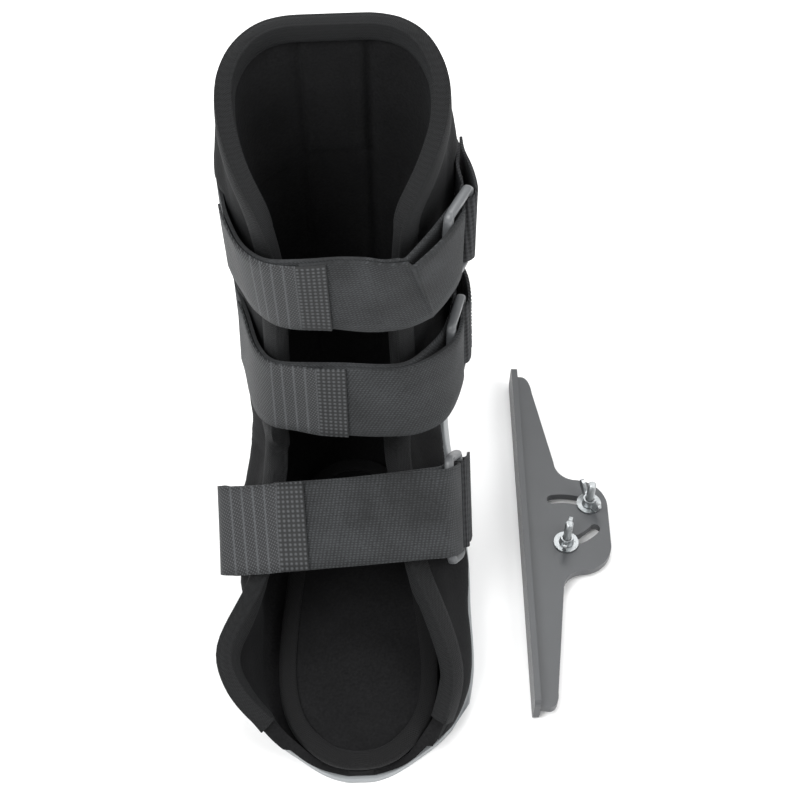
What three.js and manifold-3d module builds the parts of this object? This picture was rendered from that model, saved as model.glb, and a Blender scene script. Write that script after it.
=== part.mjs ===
// A foot drop splint: a padded boot on an L-shaped plastic shell, closed by three hook-and-loop straps,
// with its T-section derotation bar unscrewed and laid beside it. Millimetres, +Z up, toe towards -Y.
// The origin is on the sole's flat underside, in the middle of the boot's width.
import * as THREE from 'three';
import { mergeVertices } from 'three/addons/utils/BufferGeometryUtils.js';
import Module from 'manifold-3d';

const wasm = await Module();
wasm.setup();

// Boot outline: the outside of the padded liner, seen from the side
const bootHeight = 339;
const toeReach = 199;
const calfBack = 57;
const heelRadius = 30;
const foldForward = 75;
const foldHeight = 135;
const halfWidth = 61;
const flapReach = 155;

// Walls and gaps
const shellWall = 3.4;
const linerWall = 6;
const linerFloor = 3.5;
const shellGap = 1.3;
const seatGap = 0.35;
const tapeWall = 1;
const tapeGap = 1.35;
const tapeCover = 9;
const bedThick = 4;
const bedInset = 3.8;

// Shell
const shellToeLip = 2;
const toeFade = 0.2;
const shellFlare = 2.2;
const barHoleBore = 6;
const barHoleBack = 22;

// Straps and rings
const strapWidth = 50;
const strapThick = 1.8;
const strapLayerGap = 0.5;
const hookThick = 1.2;
const webThick = 1.6;
const ringSlot = 53;
const ringThroat = 19;
const ringBar = 5;
const ringEase = 1;
const lapBow = 0.8;
const angleStep = 7.5;


// Derotation bar
const barLength = 243;
const barCentreY = -42.5;
const barSide = 98.5;
const flangeThick = 3.6;
const flangeAbove = 6.5;
const flangeBelow = 7;
const plateThick = 5;
const armRoot = 19;
const armTip = 9;
const bossReach = 49.5;
const bossHalf = 33;
const bossCorner = 19;
const bossFillet = 13;
const slotRadius = 32.5;
const slotWidth = 6.3;
const upperSlotSpan = 40;
const lowerSlotSpan = 38;
const screwBore = 5;
const screwLength = 26;
const headWide = 9.5;
const headTall = 3.2;
const washerWide = 15;
const washerThick = 1.2;
const nutHub = 9;
const nutTall = 4.6;
const wingSpan = 24;
const wingTall = 10.5;
const wingThick = 2.2;

const deg = Math.PI / 180;
const soleLift = shellWall + shellGap;

// Sections of the boot. at: 0 toe to 1 instep, to 2 round the heel, to 3 top of the calf.
// flat and corner are shares of halfWidth, lean is the wall's angle where the corner ends, bow is how far
// the flap would curl inwards over flapReach, and reach is its length from the spine, a share of flapReach.
const sections = [
  { at: 0.00, flat: 0.08, corner: 0.03, leanL: 30, leanR: 30, bowL: 0, bowR: 0, reachL: 0.05, reachR: 0.05 },
  { at: 0.03, flat: 0.30, corner: 0.04, leanL: 30, leanR: 30, bowL: 0, bowR: 0, reachL: 0.14, reachR: 0.14 },
  { at: 0.07, flat: 0.44, corner: 0.05, leanL: 40, leanR: 40, bowL: 0, bowR: 0, reachL: 0.20, reachR: 0.20 },
  { at: 0.12, flat: 0.54, corner: 0.07, leanL: 55, leanR: 70, bowL: 0, bowR: 60, reachL: 0.28, reachR: 0.28 },
  { at: 0.17, flat: 0.63, corner: 0.10, leanL: 60, leanR: 76, bowL: 0, bowR: 120, reachL: 0.41, reachR: 0.40 },
  { at: 0.24, flat: 0.71, corner: 0.14, leanL: 60, leanR: 76, bowL: 0, bowR: 190, reachL: 0.55, reachR: 0.51 },
  { at: 0.33, flat: 0.77, corner: 0.18, leanL: 64, leanR: 78, bowL: 0, bowR: 190, reachL: 0.64, reachR: 0.60 },
  { at: 0.45, flat: 0.80, corner: 0.20, leanL: 68, leanR: 79, bowL: 0, bowR: 190, reachL: 0.71, reachR: 0.71 },
  { at: 0.60, flat: 0.80, corner: 0.21, leanL: 84, leanR: 80, bowL: 10, bowR: 180, reachL: 0.75, reachR: 0.79 },
  { at: 0.78, flat: 0.77, corner: 0.22, leanL: 90, leanR: 80, bowL: 40, bowR: 185, reachL: 0.78, reachR: 0.84 },
  { at: 1.00, flat: 0.72, corner: 0.28, leanL: 79, leanR: 84, bowL: 98, bowR: 120, reachL: 0.90, reachR: 0.945 },
  { at: 1.25, flat: 0.60, corner: 0.36, leanL: 75, leanR: 88, bowL: 92, bowR: 95, reachL: 0.96, reachR: 0.98 },
  { at: 1.50, flat: 0.36, corner: 0.52, leanL: 86, leanR: 90, bowL: 34, bowR: 58, reachL: 1.04, reachR: 1.06 },
  { at: 1.75, flat: 0.26, corner: 0.62, leanL: 90, leanR: 90, bowL: 40, bowR: 85, reachL: 0.935, reachR: 0.95 },
  { at: 2.00, flat: 0.24, corner: 0.63, leanL: 90, leanR: 90, bowL: 72, bowR: 106, reachL: 0.85, reachR: 0.87 },
  { at: 2.15, flat: 0.24, corner: 0.64, leanL: 90, leanR: 90, bowL: 92, bowR: 118, reachL: 0.86, reachR: 0.885 },
  { at: 2.32, flat: 0.26, corner: 0.66, leanL: 90, leanR: 90, bowL: 112, bowR: 130, reachL: 0.88, reachR: 0.915 },
  { at: 2.50, flat: 0.27, corner: 0.69, leanL: 90, leanR: 90, bowL: 165, bowR: 160, reachL: 0.885, reachR: 0.91 },
  { at: 2.65, flat: 0.28, corner: 0.70, leanL: 90, leanR: 90, bowL: 160, bowR: 150, reachL: 0.88, reachR: 0.925 },
  { at: 2.76, flat: 0.28, corner: 0.69, leanL: 90, leanR: 90, bowL: 130, bowR: 130, reachL: 0.86, reachR: 0.92 },
  { at: 2.82, flat: 0.28, corner: 0.685, leanL: 90, leanR: 90, bowL: 120, bowR: 130, reachL: 0.76, reachR: 0.8 },
  { at: 2.88, flat: 0.28, corner: 0.68, leanL: 90, leanR: 90, bowL: 120, bowR: 130, reachL: 0.65, reachR: 0.665 },
  { at: 2.93, flat: 0.28, corner: 0.68, leanL: 90, leanR: 90, bowL: 120, bowR: 130, reachL: 0.555, reachR: 0.56 },
  { at: 2.965, flat: 0.28, corner: 0.68, leanL: 90, leanR: 90, bowL: 120, bowR: 130, reachL: 0.475, reachR: 0.47 },
  { at: 2.99, flat: 0.28, corner: 0.68, leanL: 90, leanR: 90, bowL: 120, bowR: 130, reachL: 0.38, reachR: 0.37 },
  { at: 3.00, flat: 0.28, corner: 0.68, leanL: 90, leanR: 90, bowL: 120, bowR: 130, reachL: 0.28, reachR: 0.29 },
];
const extraPlaces = [0.89, 1.13, 1.37, 1.44, 1.56, 1.65, 2.41, 2.905, 2.948];

// The shell's side walls: how far past the corner they reach, a share of flapReach
const shellWalls = [
  { at: 0.00, wall: 0.00 },
  { at: 0.06, wall: -0.018 },
  { at: 0.12, wall: -0.02 },
  { at: 0.20, wall: 0.00 },
  { at: 0.80, wall: 0.03 },
  { at: 1.15, wall: 0.12 },
  { at: 1.50, wall: 0.22 },
  { at: 2.00, wall: 0.04 },
  { at: 2.30, wall: -0.05 },
  { at: 2.66, wall: -0.08 },
  { at: 2.76, wall: -0.14 },
  { at: 2.82, wall: -0.22 },
  { at: 2.86, wall: -0.34 },
];

// Reads one column of a table at a place between its rows, on a smooth curve through them
function column(table, at, key) {
  const last = table.length - 1;
  const x = Math.min(Math.max(at, table[0].at), table[last].at);
  let i = 0;
  while (i < last - 1 && x > table[i + 1].at) i += 1;
  const slope = (k) => {
    const a = table[Math.max(k - 1, 0)];
    const b = table[Math.min(k + 1, last)];
    return (b[key] - a[key]) / (b.at - a.at);
  };
  const step = table[i + 1].at - table[i].at;
  const t = (x - table[i].at) / step;
  const rise = table[i + 1][key] - table[i][key];
  const tamed = (m) => (rise === 0 ? 0 : Math.min(Math.max(m * step / rise, 0), 3) * rise);
  const m0 = tamed(slope(i));
  const m1 = tamed(slope(i + 1));
  const s = t * t;
  const c = s * t;
  return (2 * c - 3 * s + 1) * table[i][key] + (c - 2 * s + t) * m0
    + (3 * s - 2 * c) * table[i + 1][key] + (c - s) * m1;
}

// The boot's spine, and the direction that points from it into the boot, in the plane of one section
function spine(at) {
  if (at <= 1) {
    const y = -toeReach + at * (toeReach - foldForward);
    return { base: new THREE.Vector3(0, y, soleLift), inward: new THREE.Vector3(0, 0, 1) };
  }
  if (at >= 2) {
    const z = foldHeight + (at - 2) * (bootHeight - foldHeight);
    return { base: new THREE.Vector3(0, calfBack, z), inward: new THREE.Vector3(0, -1, 0) };
  }
  const angle = (at - 1) * 90 * deg;
  const dy = Math.sin(angle);
  const dz = -Math.cos(angle);
  const middle = { y: calfBack - heelRadius, z: soleLift + heelRadius };
  let run = (foldHeight - soleLift) / -dz;
  if (-foldForward + run * dy > middle.y) {
    run = (calfBack + foldForward) / dy;
    if (foldHeight + run * dz < middle.z) {
      const oy = -foldForward - middle.y;
      const oz = foldHeight - middle.z;
      const half = oy * dy + oz * dz;
      run = -half + Math.sqrt(half * half - (oy * oy + oz * oz - heelRadius * heelRadius));
    }
  }
  return {
    base: new THREE.Vector3(0, -foldForward + run * dy, foldHeight + run * dz),
    inward: new THREE.Vector3(0, -dy, -dz),
  };
}

function shape(at, side) {
  const tail = side < 0 ? 'L' : 'R';
  return {
    flat: column(sections, at, 'flat') * halfWidth,
    corner: column(sections, at, 'corner') * halfWidth,
    lean: column(sections, at, `lean${tail}`) * deg,
    bow: column(sections, at, `bow${tail}`) * deg / flapReach,
    reach: column(sections, at, `reach${tail}`) * flapReach,
  };
}

// A point on the liner's outside: along is the distance from the spine, negative to the left
function onBoot(at, along) {
  const { base, inward } = spine(at);
  const p = shape(at, along);
  const s = Math.abs(along);
  const onFlat = Math.min(s, p.flat);
  const bend = Math.min(Math.max((s - p.flat) / p.corner, 0), p.lean);
  let across = onFlat + p.corner * Math.sin(bend);
  let up = p.corner * (1 - Math.cos(bend));
  const wall = Math.max(s - p.flat - p.corner * p.lean, 0);
  if (p.bow > 1e-6) {
    across += (Math.cos(p.lean) * Math.sin(p.bow * wall) - Math.sin(p.lean) * (1 - Math.cos(p.bow * wall))) / p.bow;
    up += (Math.sin(p.lean) * Math.sin(p.bow * wall) + Math.cos(p.lean) * (1 - Math.cos(p.bow * wall))) / p.bow;
  } else {
    across += Math.cos(p.lean) * wall;
    up += Math.sin(p.lean) * wall;
  }
  return base.clone().addScaledVector(inward, up).setX(Math.sign(along) * across);
}

// The direction that points out of the boot there
function outOfBoot(at, along) {
  const step = 0.004;
  const reach = 0.6;
  const up = onBoot(at + step, along).sub(onBoot(at - step, along));
  const side = onBoot(at, along + reach).sub(onBoot(at, along - reach));
  return up.cross(side).normalize();
}

function offBoot(at, along, out) {
  return onBoot(at, along).addScaledVector(outOfBoot(at, along), out);
}

// Distances from the spine to one edge: counts gives the lanes on the flat, round the corner and on the wall,
// and the last lane is as wide as the edge tape
function lanes(at, side, reach, counts, last) {
  const p = shape(at, side);
  const b = Math.min(p.flat + p.corner * p.lean, (reach - last) * 0.94);
  const a = Math.min(p.flat, b * 0.9);
  const marks = [0, a, b, reach - last];
  const out = [0];
  counts.forEach((n, k) => {
    for (let i = 1; i <= n; i += 1) out.push(side * (marks[k] + (marks[k + 1] - marks[k]) * i / n));
  });
  return [...out, side * reach];
}

function wholeRow(left, right) {
  return [...left.slice(1).reverse(), ...right];
}

// One closed solid between two matching grids of points. A ring joins its last row to its first.
function slab(outer, inner, ring = false) {
  const rows = outer.length;
  const cols = outer[0].length;
  const vertices = [];
  [outer, inner].forEach((grid) => grid.forEach((row) => row.forEach((p) => vertices.push(p.x, p.y, p.z))));
  const id = (layer, i, j) => layer * rows * cols + (i % rows) * cols + j;
  const faces = [];
  const quad = (a, b, c, d) => faces.push(a, b, c, a, c, d);
  const last = ring ? rows : rows - 1;
  for (let i = 0; i < last; i += 1) {
    for (let j = 0; j < cols - 1; j += 1) {
      quad(id(0, i, j), id(0, i, j + 1), id(0, i + 1, j + 1), id(0, i + 1, j));
      quad(id(1, i, j), id(1, i + 1, j), id(1, i + 1, j + 1), id(1, i, j + 1));
    }
    quad(id(0, i, 0), id(0, i + 1, 0), id(1, i + 1, 0), id(1, i, 0));
    quad(id(0, i, cols - 1), id(1, i, cols - 1), id(1, i + 1, cols - 1), id(0, i + 1, cols - 1));
  }
  if (!ring) {
    for (let j = 0; j < cols - 1; j += 1) {
      quad(id(0, 0, j), id(1, 0, j), id(1, 0, j + 1), id(0, 0, j + 1));
      quad(id(0, rows - 1, j), id(0, rows - 1, j + 1), id(1, rows - 1, j + 1), id(1, rows - 1, j));
    }
  }
  return facingOut(vertices, faces);
}

// A geometry from points and faces, turned so that its volume is positive
function facingOut(vertices, faces) {
  let volume = 0;
  const point = (k) => new THREE.Vector3().fromArray(vertices, k * 3);
  for (let i = 0; i < faces.length; i += 3) {
    volume += point(faces[i]).dot(point(faces[i + 1]).cross(point(faces[i + 2])));
  }
  if (volume < 0) faces.reverse();
  const geometry = new THREE.BufferGeometry();
  geometry.setAttribute('position', new THREE.Float32BufferAttribute(vertices, 3));
  geometry.setIndex(faces);
  return geometry;
}

function solidOf(geometry) {
  const bare = geometry.clone();
  bare.deleteAttribute('normal');
  bare.deleteAttribute('uv');
  const merged = mergeVertices(bare, 1e-4);
  return new wasm.Manifold(new wasm.Mesh({
    numProp: 3,
    vertProperties: new Float32Array(merged.attributes.position.array),
    triVerts: new Uint32Array(merged.index.array),
  }));
}

function geometryOf(solid) {
  const mesh = solid.getMesh();
  const geometry = new THREE.BufferGeometry();
  geometry.setAttribute('position', new THREE.BufferAttribute(new Float32Array(mesh.vertProperties), 3));
  geometry.setIndex(new THREE.BufferAttribute(new Uint32Array(mesh.triVerts), 1));
  return geometry;
}

const finish = {
  shell: new THREE.MeshStandardMaterial({ color: 0xa9abac, roughness: 0.45, metalness: 0 }),
  bar: new THREE.MeshStandardMaterial({ color: 0x646466, roughness: 0.5, metalness: 0 }),
  foam: new THREE.MeshStandardMaterial({ color: 0x16171a, roughness: 0.95, metalness: 0 }),
  tape: new THREE.MeshStandardMaterial({ color: 0x2b2c2e, roughness: 0.85, metalness: 0 }),
  strap: new THREE.MeshStandardMaterial({ color: 0x434446, roughness: 0.8, metalness: 0 }),
  hook: new THREE.MeshStandardMaterial({ color: 0x38393a, roughness: 0.6, metalness: 0 }),
  ring: new THREE.MeshStandardMaterial({ color: 0x6d6f70, roughness: 0.45, metalness: 0 }),
  zinc: new THREE.MeshStandardMaterial({ color: 0xd4d6d4, roughness: 0.25, metalness: 1 }),
};

const splint = new THREE.Group();

function piece(name, geometry, material, parent = splint) {
  const mesh = new THREE.Mesh(geometry, material);
  mesh.name = name;
  parent.add(mesh);
  return mesh;
}

const places = [0.005, ...sections.slice(1).map((row) => row.at), ...extraPlaces].sort((a, b) => a - b);

const shellTop = shellWalls[shellWalls.length - 1].at;
const flareAt = (at) => shellFlare * Math.max((at - 2.5) / (shellTop - 2.5), 0) ** 1.5;

// Shell: one moulded L-shaped trough, outside the liner, its top edge flared off it
function makeShell() {
  const below = places.filter((at) => at < shellTop - 0.01);
  const rows = [...below, shellTop].map((at) => {
    const sides = [-1, 1].map((side) => {
      const p = shape(at, side);
      const reach = p.flat + p.corner * p.lean + column(shellWalls, at, 'wall') * flapReach;
      return lanes(at, side, reach, [1, 4, 1], shellWall);
    });
    return { at, lane: wholeRow(...sides) };
  });
  const layer = (out) => rows.map(({ at, lane }) => lane.map((along) => {
    if (at > 0.3) return offBoot(at, along, out + flareAt(at));
    const p = onBoot(at, along).setZ(soleLift - out);
    const lip = shellToeLip * Math.max(1 - at / toeFade, 0);
    return p.setY(p.y - lip);
  }));
  const trough = solidOf(slab(layer(shellGap + shellWall), layer(shellGap)));
  const drill = [-1, 1].map((side) => {
    const bore = new THREE.CylinderGeometry(barHoleBore / 2, barHoleBore / 2, shellWall * 4, 20);
    bore.rotateX(90 * deg);
    bore.translate(side * slotRadius / 2, -barHoleBack, shellWall / 2);
    return solidOf(bore);
  });
  return geometryOf(drill.reduce((body, bore) => body.subtract(bore), trough));
}
piece('shell', makeShell(), finish.shell);

// Liner: one padded trough with its two flaps
const padAt = (at, along) => {
  const p = shape(at, along);
  const onWall = Math.min(Math.max((Math.abs(along) - p.flat - 1) / (p.corner + 3), 0), 1);
  const upCalf = Math.min(Math.max((at - 1.45) * 4, 0), 1);
  return linerFloor + (linerWall - linerFloor) * Math.max(onWall, upCalf);
};
const linerSide = (at, side) => {
  const { reach } = shape(at, side);
  return lanes(at, side, reach, [1, 4, 3], Math.min(tapeCover, reach * 0.2));
};
const linerLanes = places.map((at) => wholeRow(linerSide(at, -1), linerSide(at, 1)));
const linerOuter = places.map((at, i) => linerLanes[i].map((along) => offBoot(at, along, 0)));
const linerInner = places.map((at, i) => linerLanes[i].map((along) => offBoot(at, along, -padAt(at, along))));
piece('liner', slab(linerOuter, linerInner), finish.foam);

// Edge tape: a folded strip over the liner's free edge, up one flap, across the top and down the other
function makeEdgeTape() {
  const lastCol = linerLanes[0].length - 1;
  const lastRow = places.length - 1;
  const start = places.findIndex((at) => at >= 0.17);
  const edge = [];
  for (let i = start; i <= lastRow; i += 1) edge.push([places[i], linerLanes[i][0]]);
  for (let j = 1; j < lastCol; j += 1) edge.push([places[lastRow], linerLanes[lastRow][j]]);
  for (let i = lastRow; i >= start; i -= 1) edge.push([places[i], linerLanes[i][lastCol]]);
  const rim = edge.map(([at, along]) => onBoot(at, along));
  const outer = [];
  const inner = [];
  edge.forEach(([at, along], k) => {
    const run = rim[Math.min(k + 1, rim.length - 1)].clone().sub(rim[Math.max(k - 1, 0)]);
    const away = run.cross(outOfBoot(at, along)).normalize();
    const small = 0.01;
    const perAt = onBoot(at + small, along).sub(onBoot(at - small, along)).multiplyScalar(0.5 / small);
    const perAlong = onBoot(at, along + 1).sub(onBoot(at, along - 1)).multiplyScalar(0.5);
    const aa = perAt.dot(perAt);
    const bb = perAlong.dot(perAlong);
    const ab = perAt.dot(perAlong);
    const da = (away.dot(perAt) * bb - away.dot(perAlong) * ab) / (aa * bb - ab * ab);
    const db = (away.dot(perAlong) * aa - away.dot(perAt) * ab) / (aa * bb - ab * ab);
    const pad = padAt(at, along);
    const place = (beyond, out) => offBoot(at + da * beyond, along + db * beyond, out);
    const gap = tapeGap + 0.8 * Math.max(1 - Math.abs(at - 0.5) / 0.4, 0) + 1.1 * Math.max(1 - Math.abs(at - 1.62) / 0.3, 0);
    const far = gap + tapeWall;
    outer.push([place(-tapeCover, far), place(tapeWall, far), place(far, -pad / 2),
      place(tapeWall, -pad - far), place(-tapeCover, -pad - far)]);
    inner.push([place(-tapeCover, gap), place(gap, gap), place(gap, -pad / 2),
      place(gap, -pad - gap), place(-tapeCover, -pad - gap)]);
  });
  return slab(outer, inner);
}
piece('liner_edge_tape', makeEdgeTape(), finish.tape);

// Footbed: a flat insole pad on the liner's floor, its edge bound by a folded tape of its own
const bedBase = soleLift + linerFloor + seatGap + tapeWall + seatGap;

function bedOutline(grow) {
  const ends = [0.012, 0.035, 0.07, 0.12, 0.17, 0.26, 0.4, 0.6, 0.85, 1.1, 1.25];
  const side = ends.map((at) => new THREE.Vector2(shape(at, 1).flat - bedInset, spine(at).base.y));
  const last = side[side.length - 1];
  [22, 44, 64, 82].forEach((turn) => side.push(new THREE.Vector2(
    last.x * Math.cos(turn * deg),
    last.y + last.x * 1.1 * Math.sin(turn * deg),
  )));
  const loop = [...side, ...side.map((p) => new THREE.Vector2(-p.x, p.y)).reverse()];
  return loop.map((p, k) => {
    const before = loop[(k + loop.length - 1) % loop.length];
    const after = loop[(k + 1) % loop.length];
    const run = after.clone().sub(before).normalize();
    return new THREE.Vector2(p.x + run.y * grow, p.y - run.x * grow);
  });
}

function makeBed() {
  const outline = new THREE.Shape(bedOutline(0));
  const pad = new THREE.ExtrudeGeometry(outline, { depth: bedThick, bevelEnabled: false });
  pad.translate(0, 0, bedBase);
  return geometryOf(solidOf(pad));
}
piece('footbed', makeBed(), finish.foam);

function makeBedTape() {
  const far = seatGap + tapeWall;
  const chain = (stops) => {
    const loops = stops.map(([grow, z]) => bedOutline(grow).map((p) => new THREE.Vector3(p.x, p.y, bedBase + z)));
    return loops[0].map((_, k) => loops.map((loop) => loop[k]));
  };
  const outer = chain([[-tapeCover, bedThick + far], [seatGap, bedThick + far], [far, bedThick / 2],
    [seatGap, -far], [-tapeCover, -far]]);
  const inner = chain([[-tapeCover, bedThick + seatGap], [seatGap, bedThick + seatGap], [seatGap, bedThick / 2],
    [seatGap, -seatGap], [-tapeCover, -seatGap]]);
  return slab(outer, inner, true);
}
piece('footbed_edge_tape', makeBedTape(), finish.tape);

// A band along a path of stops: place is the middle of its width, across points along its width
function band(stops, width, thick) {
  const outer = [];
  const inner = [];
  stops.forEach(({ place, across }, k) => {
    const run = stops[Math.min(k + 1, stops.length - 1)].place.clone()
      .sub(stops[Math.max(k - 1, 0)].place).normalize();
    const wide = across.clone().addScaledVector(run, -across.dot(run)).normalize();
    const out = run.clone().cross(wide).normalize();
    const at = (side, lift) => place.clone().addScaledVector(wide, side * width / 2)
      .addScaledVector(out, lift * thick / 2);
    outer.push([at(1, 1), at(-1, 1)]);
    inner.push([at(1, -1), at(-1, -1)]);
  });
  return slab(outer, inner);
}

// How far the boot's outside stands off the liner: the shell below, the edge tape beyond
function standOff(at, along) {
  const p = shape(at, along);
  const shellEdge = p.flat + p.corner * p.lean + column(shellWalls, at, 'wall') * flapReach;
  if (Math.abs(along) <= shellEdge + 1) return shellGap + shellWall + flareAt(at);
  return Math.abs(along) > p.reach - tapeCover - 2 ? tapeGap + tapeWall : 0;
}

// The tightest loop round the calf between two heights, as a convex polygon in plan
function calfLoop(heights) {
  const points = [];
  heights.forEach((z) => {
    const at = 2 + (z - foldHeight) / (bootHeight - foldHeight);
    [-1, 1].forEach((side) => {
      const { reach } = shape(at, side);
      const stops = Array.from({ length: 41 }, (_, k) => side * (0.01 + k / 40 * (reach - 0.01)));
      stops.forEach((along) => {
        const p = offBoot(at, along, standOff(at, along) + strapLayerGap);
        points.push(p);
      });
      const rim = onBoot(at, side * reach);
      const run = rim.clone().sub(onBoot(at, side * (reach - 2))).setZ(0).normalize();
      const corner = offBoot(at, side * reach, tapeGap + tapeWall + strapLayerGap);
      points.push(corner.addScaledVector(run, tapeGap + tapeWall));
    });
  });
  points.sort((a, b) => a.x - b.x || a.y - b.y);
  const turn = (a, b, c) => (b.x - a.x) * (c.y - a.y) - (b.y - a.y) * (c.x - a.x);
  const chain = (list) => {
    const out = [];
    list.forEach((p) => {
      while (out.length > 1 && turn(out[out.length - 2], out[out.length - 1], p) <= 0) out.pop();
      out.push(p);
    });
    return out.slice(0, -1);
  };
  return [...chain(points), ...chain(points.reverse())];
}

// Where a ray from the calf's middle at one angle meets such a loop, its corners eased outwards
function onLoop(loop, angle, more) {
  const eye = new THREE.Vector2(0, calfBack * 0.14);
  const far = Math.max(...[-3, 0, 3].map((turn) => reachOfLoop(loop, eye, angle + turn)));
  return eye.add(new THREE.Vector2(Math.cos(angle * deg), Math.sin(angle * deg)).multiplyScalar(far + more));
}

function reachOfLoop(loop, eye, angle) {
  const ray = new THREE.Vector2(Math.cos(angle * deg), Math.sin(angle * deg));
  let best = 0;
  loop.forEach((a, k) => {
    const b = loop[(k + 1) % loop.length];
    const ex = b.x - a.x;
    const ey = b.y - a.y;
    const det = ex * ray.y - ey * ray.x;
    if (Math.abs(det) < 1e-9) return;
    const t = (ex * (a.y - eye.y) - ey * (a.x - eye.x)) / det;
    const u = (ray.x * (a.y - eye.y) - ray.y * (a.x - eye.x)) / det;
    if (u >= -1e-9 && u <= 1 + 1e-9) best = Math.max(best, t);
  });
  return best;
}

// Calf straps: height of the middle, how far it climbs towards the ring, the ring's place as an angle in
// plan, and the angles where the overlap ends, where the hook tape begins and where it ends. slack rows say
// how far the lower and the upper edge stand off the boot at an angle, as shares of strapWidth.
const calfStraps = [
  {
    name: 'top', height: 237, climb: 15, ring: 335, lapEnd: 247, hookStart: 263, hookEnd: 186,
    slack: [
      { at: 180, low: 0, high: 0 },
      { at: 225, low: 0, high: 0.07 },
      { at: 250, low: 0.01, high: 0.06 },
      { at: 285, low: 0.1, high: 0.01 },
      { at: 312, low: 0.1, high: 0.1 },
      { at: 335, low: 0.11, high: 0.11 },
      { at: 360, low: 0.03, high: 0.03 },
      { at: 400, low: 0, high: 0 },
    ],
  },
  {
    name: 'middle', height: 157, climb: 1, ring: 338, lapEnd: 258, hookStart: 271, hookEnd: 186,
    slack: [
      { at: 180, low: 0, high: 0 },
      { at: 225, low: 0.08, high: 0.02 },
      { at: 255, low: 0.2, high: 0.06 },
      { at: 290, low: 0.28, high: 0.1 },
      { at: 315, low: 0.26, high: 0.13 },
      { at: 338, low: 0.17, high: 0.15 },
      { at: 362, low: 0.06, high: 0.06 },
      { at: 400, low: 0, high: 0 },
    ],
  },
];

// Strap layers, measured from the innermost strap's middle
const ringPitch = ringBar / 2 + strapLayerGap + strapThick / 2;
const ringLift = ringPitch + strapLayerGap;
const lapPitch = strapThick + strapLayerGap + lapBow;
const hookOnLap = strapThick / 2 + seatGap + hookThick / 2;
const halfRing = (ringThroat + ringBar) / 2;
const webRadius = ringBar / 2 + ringEase * 0.42 + strapLayerGap + webThick / 2;

function makeCalfStrap({ name, height, climb, ring, lapEnd, hookStart, hookEnd, slack }) {
  const half = strapWidth / 2;
  const low = calfLoop([height - half, height - half / 2, height]);
  const high = calfLoop([height, height + half / 2, height + half + climb]);
  const rise = (angle) => {
    const up = Math.min(Math.max((angle - 285) / (ring - 12 - 285), 0), 1) ** 1.6;
    return climb * up * (1 - Math.min(Math.max((angle - ring - 20) / 60, 0), 1));
  };
  const stop = (angle, out) => {
    const point = (loop, z, to, edge) => {
      const p = onLoop(loop, to, column(slack, to, edge) * strapWidth);
      return new THREE.Vector3(p.x, p.y, z);
    };
    const ends = [angle - 2, angle, angle + 2].map((to) => ({
      base: point(low, height - half, to, 'low'),
      crest: point(high, height + half, to, 'high'),
    }));
    const middle = ends.map(({ base, crest }) => base.clone().add(crest).multiplyScalar(0.5));
    const across = ends[1].crest.clone().sub(ends[1].base).normalize();
    const normal = middle[2].clone().sub(middle[0]).cross(across).normalize();
    const place = middle[1].addScaledVector(normal, strapThick / 2 + out);
    place.addScaledVector(across, rise(angle));
    return { place, across, normal };
  };
  const seat = stop(ring, 0);
  const throat = seat.across.clone().cross(seat.normal).negate().normalize();
  const toRear = stop(ring + 6, 0).place.sub(stop(ring - 6, 0).place).normalize();
  if (throat.dot(toRear) < 0) throat.negate();
  const inRing = (alongThroat, out) => ({
    place: seat.place.clone().addScaledVector(throat, alongThroat).addScaledVector(seat.normal, ringLift + out),
    across: seat.across,
    normal: seat.normal,
  });
  const bend = (centre, radius, away) => [-90, -60, -30, 0, 30, 60, 90].map((turn) => inRing(
    centre + away * radius * Math.cos(turn * deg),
    radius * Math.sin(turn * deg),
  ));
  const angles = (from, to) => {
    const between = Array.from({ length: 70 }, (_, k) => 60 + k * angleStep)
      .filter((angle) => (angle - from) * (angle - to) < 0 && Math.abs(angle - from) > 2 && Math.abs(angle - to) > 2);
    return [from, ...(to < from ? between.reverse() : between), to];
  };
  const before = ring - 24;
  const under = angles(96, before).map((angle) => stop(angle, 0));
  const lapLift = (angle) => lapPitch + (ringLift + ringPitch - lapPitch)
    * Math.min(Math.max((angle - (before - 20)) / 22, 0), 1) ** 1.5;
  const lap = angles(before, lapEnd).map((angle) => stop(angle, lapLift(angle)));
  const strapTurn = bend(-halfRing + ringPitch * 2.6, ringPitch, 1);
  const strap = [...under, inRing(-halfRing - 1, -ringPitch), ...strapTurn, inRing(-halfRing - ringBar * 0.8, ringPitch + 0.5), ...lap];
  piece(`${name}_strap`, band(strap, strapWidth, strapThick), finish.strap);

  const hookLow = strapThick / 2 + strapLayerGap + hookThick / 2 + 0.3;
  const hookLift = (angle) => {
    const fall = Math.min(Math.max((lapEnd - 3 - angle) / 14, 0), 1);
    return (lapPitch + hookOnLap) * (1 - fall) + hookLow * fall;
  };
  const hook = angles(hookStart, hookEnd).map((angle) => stop(angle, hookLift(angle)));
  piece(`${name}_hook_tape`, band(hook, strapWidth, hookThick), finish.hook);

  const webLay = webThick / 2 - strapThick / 2;
  const webBack = angles(84 + 360, ring + 24).map((angle) => stop(angle, webLay));
  const webOver = [ring + 26, ring + 34, ring + 44].map((angle, k) => stop(
    angle,
    webLay + [ringLift + webRadius - 0.6, webThick + 2, webThick + seatGap][k],
  ));
  const webTurn = bend(halfRing, webRadius, -1);
  const webbing = [...webBack, inRing(halfRing + 3, -webRadius), ...webTurn, inRing(halfRing + 3, webRadius), ...webOver];
  piece(`${name}_webbing`, band(webbing, strapWidth, webThick), finish.strap);
  piece(`${name}_ring`, makeRing({ place: inRing(0, 0).place, across: seat.across, throat }), finish.ring);
}

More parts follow.
